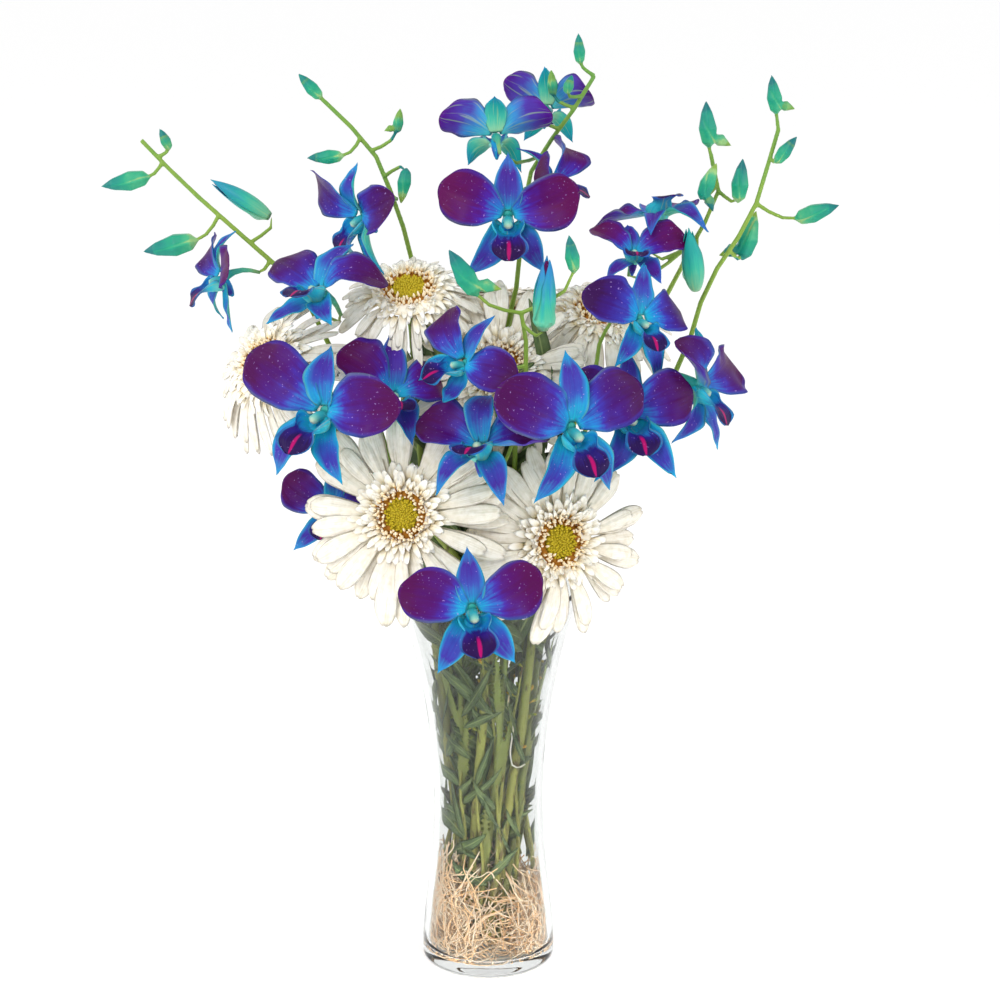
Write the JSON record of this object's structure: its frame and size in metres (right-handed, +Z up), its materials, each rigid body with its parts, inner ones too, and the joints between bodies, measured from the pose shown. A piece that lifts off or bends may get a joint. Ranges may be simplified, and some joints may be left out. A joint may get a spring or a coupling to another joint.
{
  "type": "gerberas and orchids in a vase",
  "caption": "Cut white gerberas and blue-dyed dendrobium orchids standing in a flared clear glass vase with a nest of dried fibre.",
  "frame": {"origin": "centre of the flat underside of the vase, on the vase's axis", "axes": "+Z up the vase's axis, -Y towards the front of the arrangement, +X to its right as seen from the front"},
  "size_m": [0.359, 0.2124, 0.475],
  "materials": {
    "clear_glass": "clear, polished, thick at the base",
    "dried_fibre": "pale dried plant fibre, loose curled strands",
    "white_petal": "soft matt petal, warm white",
    "yellow_florets": "fine velvety florets, yellow-green",
    "stem_green": "fresh green stem, satin",
    "leaf_green": "dull green leaf, matt",
    "dyed_orchid_petal": "waxy petal dyed blue to violet and purple"
  },
  "bodies": {
    "root": {"fibre_nest": "dried_fibre", "gerbera_back_disc": "yellow_florets", "gerbera_back_rays": "white_petal", "gerbera_back_stem": "stem_green", "gerbera_centre_disc": "yellow_florets", "gerbera_centre_rays": "white_petal", "gerbera_centre_stem": "stem_green", "gerbera_front_left_disc": "yellow_florets", "gerbera_front_left_rays": "white_petal", "gerbera_front_left_stem": "stem_green", "gerbera_front_right_disc": "yellow_florets", "gerbera_front_right_rays": "white_petal", "gerbera_front_right_stem": "stem_green", "gerbera_left_disc": "yellow_florets", "gerbera_left_rays": "white_petal", "gerbera_left_stem": "stem_green", "gerbera_right_disc": "yellow_florets", "gerbera_right_rays": "white_petal", "gerbera_right_stem": "stem_green", "gerbera_top_left_disc": "yellow_florets", "gerbera_top_left_rays": "white_petal", "gerbera_top_left_stem": "stem_green", "leafy_stem_left": "leaf_green", "leafy_stem_right": "leaf_green", "orchid_centre_bloom_1": "dyed_orchid_petal", "orchid_centre_bloom_2": "dyed_orchid_petal", "orchid_centre_bloom_3": "dyed_orchid_petal", "orchid_centre_opening_bud": "dyed_orchid_petal", "orchid_centre_stem": "stem_green", "orchid_front_left_bloom_1": "dyed_orchid_petal", "orchid_front_left_bloom_2": "dyed_orchid_petal", "orchid_front_left_bloom_3": "dyed_orchid_petal", "orchid_front_left_stem": "stem_green", "orchid_front_right_bloom_1": "dyed_orchid_petal", "orchid_front_right_bloom_2": "dyed_orchid_petal", "orchid_front_right_bloom_3": "dyed_orchid_petal", "orchid_front_right_stem": "stem_green", "orchid_left_bloom_1": "dyed_orchid_petal", "orchid_left_bloom_2": "dyed_orchid_petal", "orchid_left_centre_bloom_1": "dyed_orchid_petal", "orchid_left_centre_stem": "stem_green", "orchid_left_opening_bud": "dyed_orchid_petal", "orchid_left_stem": "stem_green", "orchid_right_bloom_1": "dyed_orchid_petal", "orchid_right_centre_bloom_1": "dyed_orchid_petal", "orchid_right_centre_bloom_2": "dyed_orchid_petal", "orchid_right_centre_opening_bud": "dyed_orchid_petal", "orchid_right_centre_stem": "stem_green", "orchid_right_stem": "stem_green", "orchid_top_bloom_1": "dyed_orchid_petal", "orchid_top_bloom_2": "dyed_orchid_petal", "orchid_top_bloom_3": "dyed_orchid_petal", "orchid_top_bloom_4": "dyed_orchid_petal", "orchid_top_stem": "stem_green", "vase": "clear_glass"}
  },
  "joints": []
}
